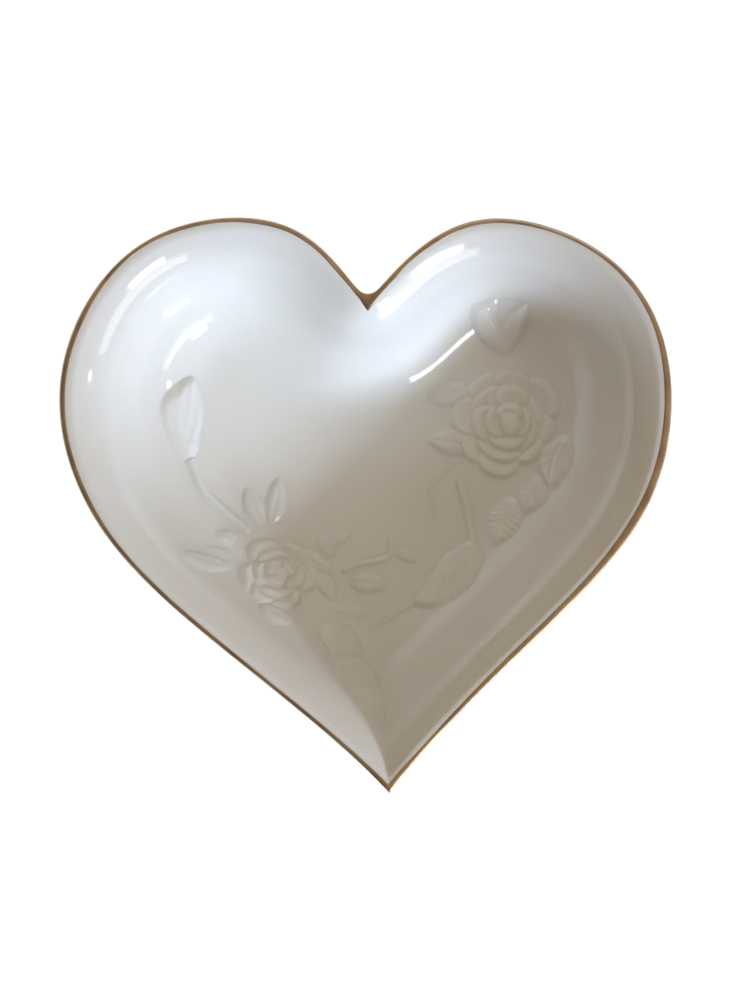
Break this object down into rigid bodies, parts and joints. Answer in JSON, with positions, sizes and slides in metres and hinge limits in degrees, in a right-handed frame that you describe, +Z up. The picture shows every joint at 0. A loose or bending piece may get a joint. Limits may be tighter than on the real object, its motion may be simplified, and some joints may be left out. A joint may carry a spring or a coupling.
{
  "type": "trinket dish",
  "caption": "Heart-shaped open trinket dish in glazed porcelain, with a flared wall, foot ring, gilt lip and two raised rose sprays inside.",
  "frame": {"origin": "middle of the dish's bounding box seen from above, on the table plane under the foot ring", "axes": "+Z up out of the open mouth, +Y towards the cleft of the heart, +X to the right with the point towards the reader"},
  "size_m": [0.1274, 0.1198, 0.0313],
  "materials": {
    "glaze": "gloss ivory-white porcelain glaze; the foot ring's bearing face is bare bisque",
    "gilding": "fired-on bright gold line, softly worn"
  },
  "bodies": {
    "root": {"bud_left": "glaze", "bud_right": "glaze", "dish_body": "glaze", "gold_rim": "gilding", "leaf_below_rose": "glaze", "leaf_below_small": "glaze", "leaf_centre_far": "glaze", "leaf_centre_lower": "glaze", "leaf_centre_middle": "glaze", "leaf_centre_upper": "glaze", "leaf_folded": "glaze", "leaf_left_lobed": "glaze", "leaf_left_long": "glaze", "leaf_left_small": "glaze", "leaf_point_curled": "glaze", "leaf_point_veined": "glaze", "leaf_right_lower": "glaze", "leaf_right_middle": "glaze", "leaf_right_outer": "glaze", "leaf_right_serrated": "glaze", "leaf_right_upper": "glaze", "rose_left": "glaze", "rose_right": "glaze", "stem_left": "glaze", "stem_right": "glaze", "tendril_centre": "glaze", "twig_point": "glaze", "twig_right": "glaze"}
  },
  "joints": []
}
